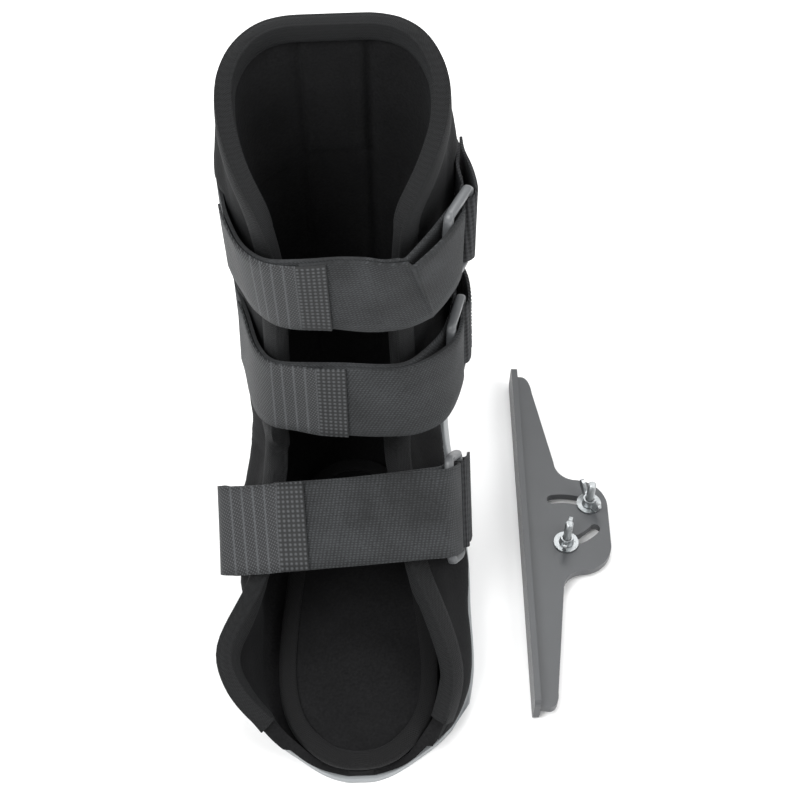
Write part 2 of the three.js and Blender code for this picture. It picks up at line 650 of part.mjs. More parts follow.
// A ring: a rounded rectangular loop of plastic with eased edges
function makeRing({ place, across, throat }) {
  const rounded = (path, wide, tall, radius) => {
    const x = wide / 2 - radius;
    const y = tall / 2 - radius;
    path.moveTo(x + radius, -y);
    path.absarc(x, y, radius, 0, 90 * deg, false);
    path.absarc(-x, y, radius, 90 * deg, 180 * deg, false);
    path.absarc(-x, -y, radius, 180 * deg, 270 * deg, false);
    path.absarc(x, -y, radius, 270 * deg, 360 * deg, false);
    return path;
  };
  const grow = 2 * ringBar - 2 * ringEase;
  const outline = rounded(new THREE.Shape(), ringThroat + grow, ringSlot + grow, ringBar);
  outline.holes.push(rounded(new THREE.Path(), ringThroat + 2 * ringEase, ringSlot + 2 * ringEase, 2 * ringEase));
  const loop = new THREE.ExtrudeGeometry(outline, {
    depth: ringBar - 2 * ringEase, bevelThickness: ringEase, bevelSize: ringEase, bevelSegments: 1,
    curveSegments: 2,
  });
  loop.translate(0, 0, ringEase - ringBar / 2);
  const facing = throat.clone().cross(across).normalize();
  loop.applyMatrix4(new THREE.Matrix4().makeBasis(throat, across, facing).setPosition(place));
  return geometryOf(solidOf(loop));
}

calfStraps.forEach(makeCalfStrap);

// Instep strap, in its own plane across the instep: x is a share of halfWidth, deep is the distance from the
// front span towards the heel, a share of halfWidth, and rise is how far it climbs, a share of strapWidth
const instepPath = [
  { x: -1.115, deep: 1.2, rise: -0.3 },
  { x: -1.115, deep: 0.92, rise: -0.27 },
  { x: -1.11, deep: 0.62, rise: -0.2 },
  { x: -1.135, deep: 0.34, rise: -0.12 },
  { x: -1.165, deep: 0.13, rise: -0.06 },
  { x: -1.18, deep: 0.045, rise: -0.04 },
  { x: -1.15, deep: -0.002, rise: -0.04 },
  { x: -1.06, deep: -0.02, rise: -0.04 },
  { x: -0.7, deep: -0.035, rise: -0.03 },
  { x: -0.07, deep: -0.03, rise: 0.01 },
  { x: 0.4, deep: -0.005, rise: 0.05 },
  { x: 0.62, deep: 0.025, rise: 0.07 },
  { x: 0.77, deep: 0.075, rise: 0.08 },
];
const instepLap = [
  { x: 0.88, deep: -0.065, rise: 0.08 },
  { x: 0.78, deep: -0.085, rise: 0.08 },
  { x: 0.6, deep: -0.08, rise: 0.07 },
  { x: 0.2, deep: -0.085, rise: 0.04 },
  { x: -0.3, deep: -0.091, rise: 0.01 },
  { x: -0.69, deep: -0.088, rise: 0 },
];
const instepHook = [
  { x: -0.42, deep: -0.132, rise: 0.01 },
  { x: -0.69, deep: -0.13, rise: 0 },
  { x: -0.79, deep: -0.107, rise: -0.02 },
  { x: -0.9, deep: -0.078, rise: -0.03 },
  { x: -1.06, deep: -0.065, rise: -0.04 },
  { x: -1.175, deep: -0.045, rise: -0.04 },
  { x: -1.225, deep: 0.03, rise: -0.04 },
  { x: -1.215, deep: 0.13, rise: -0.06 },
  { x: -1.185, deep: 0.28, rise: -0.1 },
];
const instepWeb = [
  { x: 1.12, deep: 1.3, rise: 0.02 },
  { x: 1.105, deep: 1.02, rise: 0.04 },
  { x: 1.09, deep: 0.74, rise: 0.06 },
];
const instepRing = { x: 0.95, deep: 0.29, rise: 0.08 };
const instepRingLean = 14;
const instepTilt = 45;
const instepCentre = { y: -86.3, z: 90.6 };

function makeInstepStrap() {
  const tilt = instepTilt * deg;
  const across = new THREE.Vector3(0, Math.cos(tilt), Math.sin(tilt));
  const inwards = new THREE.Vector3(0, Math.sin(tilt), -Math.cos(tilt));
  const stop = ({ x, deep, rise }) => ({
    place: new THREE.Vector3(x * halfWidth, instepCentre.y, instepCentre.z)
      .addScaledVector(inwards, deep * halfWidth).addScaledVector(across, rise * strapWidth),
    across,
  });
  const lean = instepRingLean * deg;
  const side = new THREE.Vector3(1, 0, 0);
  const throat = inwards.clone().multiplyScalar(Math.cos(lean)).addScaledVector(side, Math.sin(lean));
  const facing = side.clone().multiplyScalar(Math.cos(lean)).addScaledVector(inwards, -Math.sin(lean));
  const seat = stop(instepRing).place;
  const inRing = (alongThroat, out) => ({
    place: seat.clone().addScaledVector(throat, alongThroat).addScaledVector(facing, out),
    across,
  });
  const bend = (centre, radius, away) => [-90, -60, -30, 0, 30, 60, 90].map((turn) => inRing(
    centre + away * radius * Math.cos(turn * deg),
    radius * Math.sin(turn * deg),
  ));
  const strapTurn = bend(-halfRing + ringPitch * 2.6, ringPitch, 1);
  const strap = [...instepPath.map(stop), inRing(-halfRing, -ringPitch), ...strapTurn,
    inRing(-halfRing, ringPitch), ...instepLap.map(stop)];
  piece('instep_strap', band(strap, strapWidth, strapThick), finish.strap);
  piece('instep_hook_tape', band(instepHook.map(stop), strapWidth, hookThick), finish.hook);
  const webbing = [...instepWeb.map(stop), inRing(halfRing + 2, -webRadius), ...bend(halfRing, webRadius, -1),
    inRing(halfRing + 3, webRadius), inRing(halfRing + 12, 0.6)];
  piece('instep_webbing', band(webbing, strapWidth, webThick), finish.strap);
  piece('instep_ring', makeRing({ place: seat, across, throat }), finish.ring);
}
makeInstepStrap();

// Derotation bar: a flat plate with a side boss and two curved slots, an upright flange along its outer edge.
// Built level, plate's middle at z = 0 and the flange's outer face at x = 0, then tilted to lie on the floor.
const bossMiddle = barCentreY + 6;
const tiltRest = flangeBelow - headTall - seatGap;
const upperCentre = { x: 26, y: bossMiddle - 13.5 };
const lowerCentre = { x: 19.5, y: bossMiddle + 18.3 };
const upperRest = 61;
const lowerRest = -78.4;
const onArc = (centre, angle) => new THREE.Vector2(
  centre.x + slotRadius * Math.cos(angle * deg),
  centre.y + slotRadius * Math.sin(angle * deg),
);
const upperSpot = onArc(upperCentre, upperRest);
const lowerSpot = onArc(lowerCentre, lowerRest);
const barTilt = Math.atan((tiltRest - 0.25) / (upperSpot.x + headWide / 2 - flangeThick));
const lieDown = new THREE.Matrix4().makeRotationY(barTilt).setPosition(
  barSide,
  0,
  (plateThick / 2 + flangeBelow) * Math.cos(barTilt) + flangeThick * Math.sin(barTilt),
);

function slotShape(centre, from, span) {
  const slot = new THREE.Path();
  const start = onArc(centre, from);
  const end = onArc(centre, from + span);
  const half = slotWidth / 2;
  slot.absarc(centre.x, centre.y, slotRadius + half, from * deg, (from + span) * deg, false);
  slot.absarc(end.x, end.y, half, (from + span) * deg, (from + span + 180) * deg, false);
  slot.absarc(centre.x, centre.y, slotRadius - half, (from + span) * deg, from * deg, true);
  slot.absarc(start.x, start.y, half, (from + 180) * deg, (from + 360) * deg, false);
  return slot;
}

function makeBar() {
  const top = barCentreY + barLength / 2;
  const bottom = barCentreY - barLength / 2;
  const tip = flangeThick + armTip;
  const root = flangeThick + armRoot;
  const far = flangeThick + bossReach;
  const plan = new THREE.Shape();
  plan.moveTo(flangeThick / 2, bottom + 2);
  plan.lineTo(tip - 3, bottom + 1);
  plan.quadraticCurveTo(tip + 2, bottom + 2, tip + 2, bottom + 11);
  plan.lineTo(root, bossMiddle - bossHalf - bossFillet);
  plan.absarc(root + bossFillet, bossMiddle - bossHalf - bossFillet, bossFillet, 180 * deg, 90 * deg, true);
  plan.absarc(far - bossCorner, bossMiddle - bossHalf + bossCorner, bossCorner, 270 * deg, 360 * deg, false);
  plan.absarc(far - bossCorner, bossMiddle + bossHalf - bossCorner, bossCorner, 0, 90 * deg, false);
  plan.absarc(root + bossFillet, bossMiddle + bossHalf + bossFillet, bossFillet, 270 * deg, 180 * deg, true);
  plan.lineTo(tip, top - 16);
  plan.quadraticCurveTo(tip - 1, top - 4, tip - 6, top - 3);
  plan.lineTo(flangeThick / 2, top - 3);
  plan.holes.push(slotShape(upperCentre, upperRest, upperSlotSpan));
  plan.holes.push(slotShape(lowerCentre, lowerRest, lowerSlotSpan));
  const plate = new THREE.ExtrudeGeometry(plan, { depth: plateThick, bevelEnabled: false, curveSegments: 8 });
  plate.translate(0, 0, -plateThick / 2);
  const tall = plateThick + flangeAbove + flangeBelow;
  const wall = new THREE.Shape();
  const ease = 4;
  wall.moveTo(bottom + ease, 0);
  wall.lineTo(top - ease, 0);
  wall.quadraticCurveTo(top, 0, top, ease);
  wall.lineTo(top, tall - ease);
  wall.quadraticCurveTo(top, tall, top - ease, tall);
  wall.lineTo(bottom + ease, tall);
  wall.quadraticCurveTo(bottom, tall, bottom, tall - ease);
  wall.lineTo(bottom, ease);
  wall.quadraticCurveTo(bottom, 0, bottom + ease, 0);
  const flange = new THREE.ExtrudeGeometry(wall, { depth: flangeThick, bevelEnabled: false, curveSegments: 4 });
  const stand = new THREE.Matrix4().makeBasis(
    new THREE.Vector3(0, 1, 0),
    new THREE.Vector3(0, 0, 1),
    new THREE.Vector3(1, 0, 0),
  );
  flange.applyMatrix4(stand.setPosition(0, 0, -plateThick / 2 - flangeBelow));
  return geometryOf(solidOf(plate).add(solidOf(flange))).applyMatrix4(lieDown);
}
piece('derotation_bar', makeBar(), finish.bar);

// Bolt sets: a screw up through the plate, a wide washer and a wing nut on it
const washerBase = plateThick / 2 + seatGap;
const nutBase = washerBase + washerThick + seatGap;
const bore = screwBore / 2 + seatGap;

function ringOf(inner, outer, low, high) {
  const turned = new THREE.LatheGeometry([
    new THREE.Vector2(inner, low), new THREE.Vector2(outer, low), new THREE.Vector2(outer, high),
    new THREE.Vector2(inner, high), new THREE.Vector2(inner, low),
  ], 20);
  turned.rotateX(90 * deg);
  return turned;
}

function makeScrew() {
  const under = -plateThick / 2 - seatGap;
  const stem = screwBore / 2;
  const turned = new THREE.LatheGeometry([
    new THREE.Vector2(0, under - headTall), new THREE.Vector2(headWide / 2 - 0.8, under - headTall),
    new THREE.Vector2(headWide / 2, under - headTall + 0.8), new THREE.Vector2(headWide / 2, under),
    new THREE.Vector2(stem, under), new THREE.Vector2(stem, under + screwLength - 0.6),
    new THREE.Vector2(stem - 0.6, under + screwLength), new THREE.Vector2(0, under + screwLength),
  ], 18);
  turned.rotateX(90 * deg);
  return turned;
}

function makeWingNut() {
  const hub = new THREE.CylinderGeometry(nutHub / 2 - 0.6, nutHub / 2, nutTall, 18);
  hub.rotateX(90 * deg);
  hub.translate(0, 0, nutTall / 2);
  const wing = new THREE.Shape();
  wing.moveTo(nutHub * 0.36, 0.4);
  wing.lineTo(nutHub / 2, 0.4);
  wing.quadraticCurveTo(wingSpan * 0.36, nutTall * 0.5, wingSpan * 0.46, wingTall * 0.55);
  wing.quadraticCurveTo(wingSpan / 2 + 0.4, wingTall * 0.95, wingSpan * 0.44, wingTall);
  wing.quadraticCurveTo(wingSpan * 0.36, wingTall, nutHub * 0.56, nutTall * 1.06);
  wing.lineTo(nutHub * 0.36, nutTall * 0.92);
  const blades = [0, 180].map((turn) => {
    const blade = new THREE.ExtrudeGeometry(wing, { depth: wingThick, bevelEnabled: false, curveSegments: 4 });
    blade.translate(0, 0, -wingThick / 2);
    blade.rotateX(90 * deg);
    blade.rotateZ(turn * deg);
    return solidOf(blade);
  });
  const hole = new THREE.CylinderGeometry(bore, bore, nutTall * 3, 16);
  hole.rotateX(90 * deg);
  return blades.reduce((body, blade) => body.add(blade), solidOf(hub)).subtract(solidOf(hole));
}

const boltSets = [
  { name: 'upper', spot: upperSpot, wingTurn: 114 },
  { name: 'lower', spot: lowerSpot, wingTurn: 76 },
];
boltSets.forEach(({ name, spot, wingTurn }) => {
  const seat = new THREE.Matrix4().makeTranslation(spot.x, spot.y, 0).premultiply(lieDown);
  const nutSeat = seat.clone().multiply(new THREE.Matrix4().makeTranslation(0, 0, nutBase))
    .multiply(new THREE.Matrix4().makeRotationZ(wingTurn * deg));
  piece(`${name}_screw`, geometryOf(solidOf(makeScrew())).applyMatrix4(seat), finish.zinc);
  const washer = ringOf(bore, washerWide / 2, washerBase, washerBase + washerThick);
  piece(`${name}_washer`, geometryOf(solidOf(washer)).applyMatrix4(seat), finish.zinc);
  piece(`${name}_wing_nut`, geometryOf(makeWingNut()).applyMatrix4(nutSeat), finish.zinc);
});

export default splint;
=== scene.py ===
import heapq
import math

import bmesh
import bpy
from mathutils import Matrix, Vector, noise
from mathutils.bvhtree import BVHTree


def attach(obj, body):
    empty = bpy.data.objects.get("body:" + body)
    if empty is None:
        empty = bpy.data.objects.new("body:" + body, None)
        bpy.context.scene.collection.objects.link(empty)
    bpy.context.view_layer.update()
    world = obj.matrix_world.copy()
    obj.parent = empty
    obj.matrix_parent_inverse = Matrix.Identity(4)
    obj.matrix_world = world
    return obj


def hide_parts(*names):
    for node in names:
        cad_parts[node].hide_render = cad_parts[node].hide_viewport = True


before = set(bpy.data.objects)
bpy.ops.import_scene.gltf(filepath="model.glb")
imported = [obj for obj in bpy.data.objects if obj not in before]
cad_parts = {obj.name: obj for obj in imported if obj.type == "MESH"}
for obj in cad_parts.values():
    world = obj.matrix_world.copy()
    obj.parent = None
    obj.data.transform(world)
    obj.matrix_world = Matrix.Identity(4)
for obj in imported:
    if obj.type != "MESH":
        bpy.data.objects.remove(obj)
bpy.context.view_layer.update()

MM = 0.001
UP = Vector((0, 0, 1))

# Camera: the photograph's viewing angle, from the toe side, 52 degrees above the floor, with a
# roll of 2 degrees
VIEW_ELEVATION = math.radians(52)
VIEW_ROLL = math.radians(2)
VIEW_TARGET = Vector((0.029, 0, 0.090))
VIEW_DISTANCE = 1.4
VIEW_LENS = 108.36
VIEW_SENSOR = 36


def place_camera():
    back = Vector((0, -math.cos(VIEW_ELEVATION), math.sin(VIEW_ELEVATION)))
    up = Vector((0, math.sin(VIEW_ELEVATION), math.cos(VIEW_ELEVATION)))
    side = Vector((1, 0, 0))
    right = side * math.cos(VIEW_ROLL) - up * math.sin(VIEW_ROLL)
    up = side * math.sin(VIEW_ROLL) + up * math.cos(VIEW_ROLL)
    data = bpy.data.cameras.new("photo_camera")
    data.lens = VIEW_LENS
    data.sensor_width = VIEW_SENSOR
    camera = bpy.data.objects.new("photo_camera", data)
    bpy.context.scene.collection.objects.link(camera)
    turn = Matrix((right, up, back)).transposed().to_4x4()
    camera.matrix_world = Matrix.Translation(VIEW_TARGET + back * VIEW_DISTANCE) @ turn
    bpy.context.scene.camera = camera


# Materials
# A wave texture draws one stripe in this much of its scaled length. The webbing and the zinc are
# drawn with the rounded figure.
WAVE_TURN = math.tau / 20
ROUND_TURN = 6.28 / 20
# Sockets by their place on the node: Map Range, Mix of numbers, Mix of colours, Wave Texture
VALUE, FROM_LOW, FROM_HIGH, TO_LOW, TO_HIGH = range(5)
SHARE, NUMBER_A, NUMBER_B, COLOUR_A, COLOUR_B = 0, 2, 3, 6, 7
MIXED_COLOUR = 2
WAVE_HEIGHT = 1


def linear(hexa):
    """An sRGB hex colour as linear RGBA."""
    parts = [int(hexa[i:i + 2], 16) / 255 for i in (0, 2, 4)]
    return [c / 12.92 if c <= 0.04045 else ((c + 0.055) / 1.055) ** 2.4 for c in parts] + [1]


def clumps(size_mm):
    """A noise texture's scale for clumps of a size in millimetres."""
    return 1 / (size_mm * MM)


def stripes(pitch_mm, turn=WAVE_TURN):
    """A wave texture's scale for stripes at a pitch in millimetres."""
    return turn / (pitch_mm * MM)


def add(tree, kind, inputs=None, **settings):
    """Adds a node with its settings, values and links."""
    node = tree.nodes.new(kind)
    for key, value in settings.items():
        setattr(node, key, value)
    for key, value in (inputs or {}).items():
        if isinstance(value, bpy.types.NodeSocket):
            tree.links.new(value, node.inputs[key])
        else:
            node.inputs[key].default_value = value
    return node


def new_material(name, **sockets):
    """A material with one shader, and its node tree, shader and coordinates."""
    material = bpy.data.materials.new(name)
    material.use_nodes = True
    tree = material.node_tree
    shader = tree.nodes["Principled BSDF"]
    for key, value in sockets.items():
        shader.inputs[key.replace("_", " ")].default_value = value
    return material, tree, shader, add(tree, "ShaderNodeTexCoord")


def drive(tree, shader, **sockets):
    """Links a shader's sockets to what varies them over the surface."""
    for key, source in sockets.items():
        tree.links.new(source, shader.inputs[key.replace("_", " ")])


def knit_fabric():
    """Brushed nylon loop fabric, knitted and laminated to foam: near black and dull, with a grey
    sheen of fibre ends and a pile that clumps every 1.5 mm."""
    material, tree, shader, place = new_material(
        "brushed nylon loop fabric", Roughness=0.95, Sheen_Weight=0.06, Sheen_Roughness=0.5,
        Sheen_Tint=linear("8A8F93"), IOR=1.3)
    spot = place.outputs["Object"]
    pile = add(tree, "ShaderNodeTexNoise", {"Vector": spot, "Scale": clumps(1.5), "Detail": 3})
    drift = add(tree, "ShaderNodeTexNoise", {"Vector": spot, "Scale": clumps(38), "Detail": 4})
    tone = add(tree, "ShaderNodeMath", {0: pile.outputs[0], 1: drift.outputs[0]},
               operation="MULTIPLY")
    spread = add(tree, "ShaderNodeMapRange",
                 {VALUE: tone.outputs[0], FROM_LOW: 0.12, FROM_HIGH: 0.42})
    mix = add(tree, "ShaderNodeMix", {SHARE: spread.outputs[0], COLOUR_A: linear("070708"),
                                     COLOUR_B: linear("161617")}, data_type="RGBA")
    bump = add(tree, "ShaderNodeBump",
               {"Height": pile.outputs[0], "Strength": 0.55, "Distance": 0.5 * MM})
    drive(tree, shader, Base_Color=mix.outputs[MIXED_COLOUR], Normal=bump.outputs[0])
    return material


def ribbed_tape(name, pitch_mm, dark, light, depth_mm):
    """Woven polyester tape: dull, with a raised rib across it that catches the light."""
    material, tree, shader, place = new_material(
        name, Roughness=0.85, Sheen_Weight=0.05, Sheen_Roughness=0.4,
        Sheen_Tint=linear("A0A4A8"), IOR=1.35)
    uv, spot = place.outputs["UV"], place.outputs["Object"]
    ribs = add(tree, "ShaderNodeTexWave", {"Vector": uv, "Scale": stripes(pitch_mm),
                                          "Distortion": 0.4, "Detail": 1}, bands_direction="X")
    picks = add(tree, "ShaderNodeTexWave", {"Vector": uv, "Scale": stripes(pitch_mm * 1.5),
                                           "Distortion": 0.8, "Detail": 1}, bands_direction="Y")
    weave = add(tree, "ShaderNodeMath",
                {0: picks.outputs[WAVE_HEIGHT], 1: 0.45, 2: ribs.outputs[WAVE_HEIGHT]},
                operation="MULTIPLY_ADD")
    thread = add(tree, "ShaderNodeTexNoise", {"Vector": spot, "Scale": clumps(0.9), "Detail": 2})
    height = add(tree, "ShaderNodeMath", {0: weave.outputs[0], 1: thread.outputs[0]},
                 operation="ADD")
    spread = add(tree, "ShaderNodeMapRange",
                 {VALUE: height.outputs[0], FROM_LOW: 0.3, FROM_HIGH: 1.8})
    mix = add(tree, "ShaderNodeMix", {SHARE: spread.outputs[0], COLOUR_A: linear(dark),
                                     COLOUR_B: linear(light)}, data_type="RGBA")
    bump = add(tree, "ShaderNodeBump",
               {"Height": height.outputs[0], "Strength": 0.6, "Distance": depth_mm * MM})
    drive(tree, shader, Base_Color=mix.outputs[MIXED_COLOUR], Normal=bump.outputs[0])
    return material


def loop_webbing():
    """Nylon loop webbing, woven and brushed: mid grey, with a fine twill of 1 mm and slubs along
    it."""
    material, tree, shader, place = new_material(
        "nylon loop webbing", Roughness=0.85, Sheen_Weight=0.07, Sheen_Roughness=0.45,
        Sheen_Tint=linear("B0B3B6"), IOR=1.4)
    uv, spot = place.outputs["UV"], place.outputs["Object"]
    cross = add(tree, "ShaderNodeTexWave",
                {"Vector": uv, "Scale": stripes(1.0, ROUND_TURN), "Distortion": 1.5, "Detail": 2},
                bands_direction="DIAGONAL")
    along = add(tree, "ShaderNodeTexWave",
                {"Vector": uv, "Scale": stripes(1.4, ROUND_TURN), "Distortion": 2, "Detail": 2},
                bands_direction="Y")
    fuzz = add(tree, "ShaderNodeTexNoise", {"Vector": spot, "Scale": clumps(1.2), "Detail": 4})
    weave = add(tree, "ShaderNodeMath",
                {0: cross.outputs[WAVE_HEIGHT], 1: along.outputs[WAVE_HEIGHT]},
                operation="MULTIPLY")
    height = add(tree, "ShaderNodeMath", {0: weave.outputs[0], 1: fuzz.outputs[0]},
                 operation="ADD")
    drift = add(tree, "ShaderNodeTexNoise", {"Vector": spot, "Scale": clumps(25), "Detail": 3})
    tone = add(tree, "ShaderNodeMath", {0: height.outputs[0], 1: drift.outputs[0]},
               operation="MULTIPLY")
    spread = add(tree, "ShaderNodeMapRange",
                 {VALUE: tone.outputs[0], FROM_LOW: 0.15, FROM_HIGH: 0.75})
    mix = add(tree, "ShaderNodeMix", {SHARE: spread.outputs[0], COLOUR_A: linear("18191A"),
                                     COLOUR_B: linear("383A3C")}, data_type="RGBA")
    bump = add(tree, "ShaderNodeBump",
               {"Height": height.outputs[0], "Strength": 0.5, "Distance": 0.4 * MM})
    drive(tree, shader, Base_Color=mix.outputs[MIXED_COLOUR], Normal=bump.outputs[0])
    return material


def hook_fabric():
    """Woven nylon hook tape, along U from its loose end: a welded grid of 2.7 mm squares over the
    first 16 mm, then hooks in slanted rows 1.7 mm apart, crossed up to 43 mm by a few bright warp
    lines 6.4 mm apart."""
    material, tree, shader, place = new_material(
        "woven hook tape", Roughness=0.7, Sheen_Weight=0.05, Sheen_Tint=linear("A8ABAE"),
        IOR=1.45)
    uv = place.outputs["UV"]
    slanted = add(tree, "ShaderNodeMapping",
                  {"Vector": uv, "Rotation": (0, 0, math.radians(62))}).outputs[0]
    rows, breaks, grid_along, grid_across, lines = [
        add(tree, "ShaderNodeTexWave", {"Vector": vector, "Scale": stripes(pitch_mm),
                                       "Distortion": distortion, "Detail": 1},
            bands_direction=direction).outputs[WAVE_HEIGHT]
        for vector, pitch_mm, direction, distortion in (
            (slanted, 1.7, "X", 0.6), (slanted, 1.3, "Y", 1.2),
            (uv, 2.7, "X", 0.0), (uv, 2.7, "Y", 0.0), (uv, 6.4, "X", 0.0))]
    hooks = add(tree, "ShaderNodeMath", {0: rows, 1: breaks, 2: 0.12}, operation="MULTIPLY_ADD")
    squares = add(tree, "ShaderNodeMath", {0: grid_along, 1: grid_across}, operation="MULTIPLY")
    off_end = add(tree, "ShaderNodeSeparateXYZ", {0: uv}).outputs[0]
    beyond = add(tree, "ShaderNodeMapRange",
                 {VALUE: off_end, FROM_LOW: 15.5 * MM, FROM_HIGH: 16.5 * MM})
    near = add(tree, "ShaderNodeMapRange",
               {VALUE: off_end, FROM_LOW: 42 * MM, FROM_HIGH: 44 * MM, TO_LOW: 1, TO_HIGH: 0})
    thin = add(tree, "ShaderNodeMath", {0: lines, 1: 14.0}, operation="POWER")
    warp = add(tree, "ShaderNodeMath", {0: thin.outputs[0], 1: near.outputs[0]},
               operation="MULTIPLY")
    woven = add(tree, "ShaderNodeMath", {0: warp.outputs[0], 1: 0.7, 2: hooks.outputs[0]},
                operation="MULTIPLY_ADD")
    height = add(tree, "ShaderNodeMix", {SHARE: beyond.outputs[0], NUMBER_A: squares.outputs[0],
                                        NUMBER_B: woven.outputs[0]})
    spread = add(tree, "ShaderNodeMapRange",
                 {VALUE: height.outputs[0], FROM_LOW: 0.05, FROM_HIGH: 1.0})
    mix = add(tree, "ShaderNodeMix", {SHARE: spread.outputs[0], COLOUR_A: linear("161718"),
                                     COLOUR_B: linear("484A4C")}, data_type="RGBA")
    bump = add(tree, "ShaderNodeBump",
               {"Height": height.outputs[0], "Strength": 0.7, "Distance": 0.5 * MM})
    drive(tree, shader, Base_Color=mix.outputs[MIXED_COLOUR], Normal=bump.outputs[0])
    return material


def moulded_plastic(name, dark, light, rough, grain_mm, grain_strength):
    """Injection-moulded plastic: even colour with faint flow clouds, and a fine spark-eroded
    grain in its gloss."""
    material, tree, shader, place = new_material(name, IOR=1.49)
    spot = place.outputs["Object"]
    cloud = add(tree, "ShaderNodeTexNoise", {"Vector": spot, "Scale": clumps(45), "Detail": 4})
    grain = add(tree, "ShaderNodeTexNoise",
                {"Vector": spot, "Scale": clumps(grain_mm), "Detail": 2})
    mix = add(tree, "ShaderNodeMix", {SHARE: cloud.outputs[0], COLOUR_A: linear(dark),
                                     COLOUR_B: linear(light)}, data_type="RGBA")
    gloss = add(tree, "ShaderNodeMapRange", {VALUE: grain.outputs[0], FROM_LOW: 0.3,
                                            FROM_HIGH: 0.7, TO_LOW: rough - 0.06,
                                            TO_HIGH: rough + 0.08})
    bump = add(tree, "ShaderNodeBump",
               {"Height": grain.outputs[0], "Strength": grain_strength, "Distance": 0.12 * MM})
    drive(tree, shader, Base_Color=mix.outputs[MIXED_COLOUR], Roughness=gloss.outputs[0],
          Normal=bump.outputs[0])
    return material


def bright_zinc(name, ridges):
    """Steel, zinc plated and passivated: bright silver with faint turning marks. A screw's
    thread has a pitch of 0.8 mm and is drawn at 1.1 mm so that it shows."""
    material, tree, shader, place = new_material(name, Metallic=1.0)
    spot = place.outputs["Object"]
    spots = add(tree, "ShaderNodeTexNoise", {"Vector": spot, "Scale": clumps(2.2), "Detail": 4})
    mix = add(tree, "ShaderNodeMix", {SHARE: spots.outputs[0], COLOUR_A: linear("8C9092"),
                                     COLOUR_B: linear("B4B7B8")}, data_type="RGBA")
    gloss = add(tree, "ShaderNodeMapRange", {VALUE: spots.outputs[0], FROM_LOW: 0.3,
                                            FROM_HIGH: 0.7, TO_LOW: 0.26, TO_HIGH: 0.4})
    wave = add(tree, "ShaderNodeTexWave", {"Vector": spot, "Scale": stripes(1.1, ROUND_TURN)},
               bands_direction="Z")
    bump = add(tree, "ShaderNodeBump",
               {"Height": wave.outputs[WAVE_HEIGHT], "Strength": ridges, "Distance": 0.4 * MM})
    drive(tree, shader, Base_Color=mix.outputs[MIXED_COLOUR], Roughness=gloss.outputs[0],
          Normal=bump.outputs[0])
    return material


def sewing_thread():
    """Bonded polyester thread: dark grey with a slight twist gloss."""
    material, tree, shader, place = new_material("bonded polyester thread", Roughness=0.5,
                                                 IOR=1.55)
    twist = add(tree, "ShaderNodeTexNoise",
                {"Vector": place.outputs["Object"], "Scale": clumps(0.8)})
    mix = add(tree, "ShaderNodeMix", {SHARE: twist.outputs[0], COLOUR_A: linear("4A4D50"),
                                     COLOUR_B: linear("808386")}, data_type="RGBA")
    drive(tree, shader, Base_Color=mix.outputs[MIXED_COLOUR])
    return material


KNIT = knit_fabric()
TAPE = ribbed_tape("grosgrain binding tape", 1.1, "070708", "1A1B1C", 0.45)
BED_TAPE = ribbed_tape("knitted binding tape", 1.1, "060607", "111112", 0.35)
RIBBED = ribbed_tape("ribbed polyester webbing", 2.4, "0C0C0D", "343537", 0.8)
WEBBING = loop_webbing()
HOOK = hook_fabric()
SHELL = moulded_plastic("moulded polypropylene", "868A8C", "9A9D9F", 0.42, 0.9, 0.25)
BAR = moulded_plastic("glass-filled nylon", "3E3F41", "4A4C4E", 0.42, 0.7, 0.35)
ACETAL = moulded_plastic("moulded acetal", "4C4E50", "606264", 0.35, 0.8, 0.2)
ZINC = bright_zinc("bright zinc plate", 0.05)
THREADED = bright_zinc("bright zinc thread", 0.6)
THREAD = sewing_thread()

# Making pieces from the frame's nodes
MERGE_WITHIN = 0.02 * MM
PAIR_FACES = math.radians(60)
PAIR_SHAPES = math.radians(75)


def solid_copy(node):
    """A node's shape as a bmesh, its loose triangles merged and paired into four-sided faces."""
    bm = bmesh.new()
    bm.from_mesh(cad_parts[node].data)
    bmesh.ops.remove_doubles(bm, verts=bm.verts, dist=MERGE_WITHIN)
    bmesh.ops.join_triangles(bm, faces=bm.faces, angle_face_threshold=PAIR_FACES,
                             angle_shape_threshold=PAIR_SHAPES)
    return bm


def finished(bm, name, material, node=None, body="splint"):
    """A bmesh as an object that rides on a body and stands for a node."""
    mesh = bpy.data.meshes.new(name)
    bm.to_mesh(mesh)
    bm.free()
    mesh.polygons.foreach_set("use_smooth", [True] * len(mesh.polygons))
    mesh.materials.append(material)
    piece = bpy.data.objects.new(name, mesh)
    bpy.context.scene.collection.objects.link(piece)
    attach(piece, body)
    if node:
        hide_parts(node)
    return piece


def rounded(bm, levels, crease_from):
    """The bmesh after Catmull-Clark subdivision, edges sharper than crease_from degrees kept."""
    layer = bm.edges.layers.float.get("crease_edge") or bm.edges.layers.float.new("crease_edge")
    for edge in bm.edges:
        if edge.is_manifold and edge.calc_face_angle(0) > math.radians(crease_from):
            edge[layer] = 1.0
    mesh = bpy.data.meshes.new("rounding")
    bm.to_mesh(mesh)
    bm.free()
    carrier = bpy.data.objects.new("rounding", mesh)
    bpy.context.scene.collection.objects.link(carrier)
    rounding = carrier.modifiers.new("rounding", "SUBSURF")
    rounding.levels = levels
    rounding.render_levels = levels
    bpy.context.view_layer.update()
    depsgraph = bpy.context.evaluated_depsgraph_get()
    shaped = bpy.data.meshes.new_from_object(carrier.evaluated_get(depsgraph))
    out = bmesh.new()
    out.from_mesh(shaped)
    bpy.data.objects.remove(carrier)
    bpy.data.meshes.remove(mesh)
    bpy.data.meshes.remove(shaped)
    return out


# How far behind a band's very end its row of end points may lie
END_ROW = 4 * MM


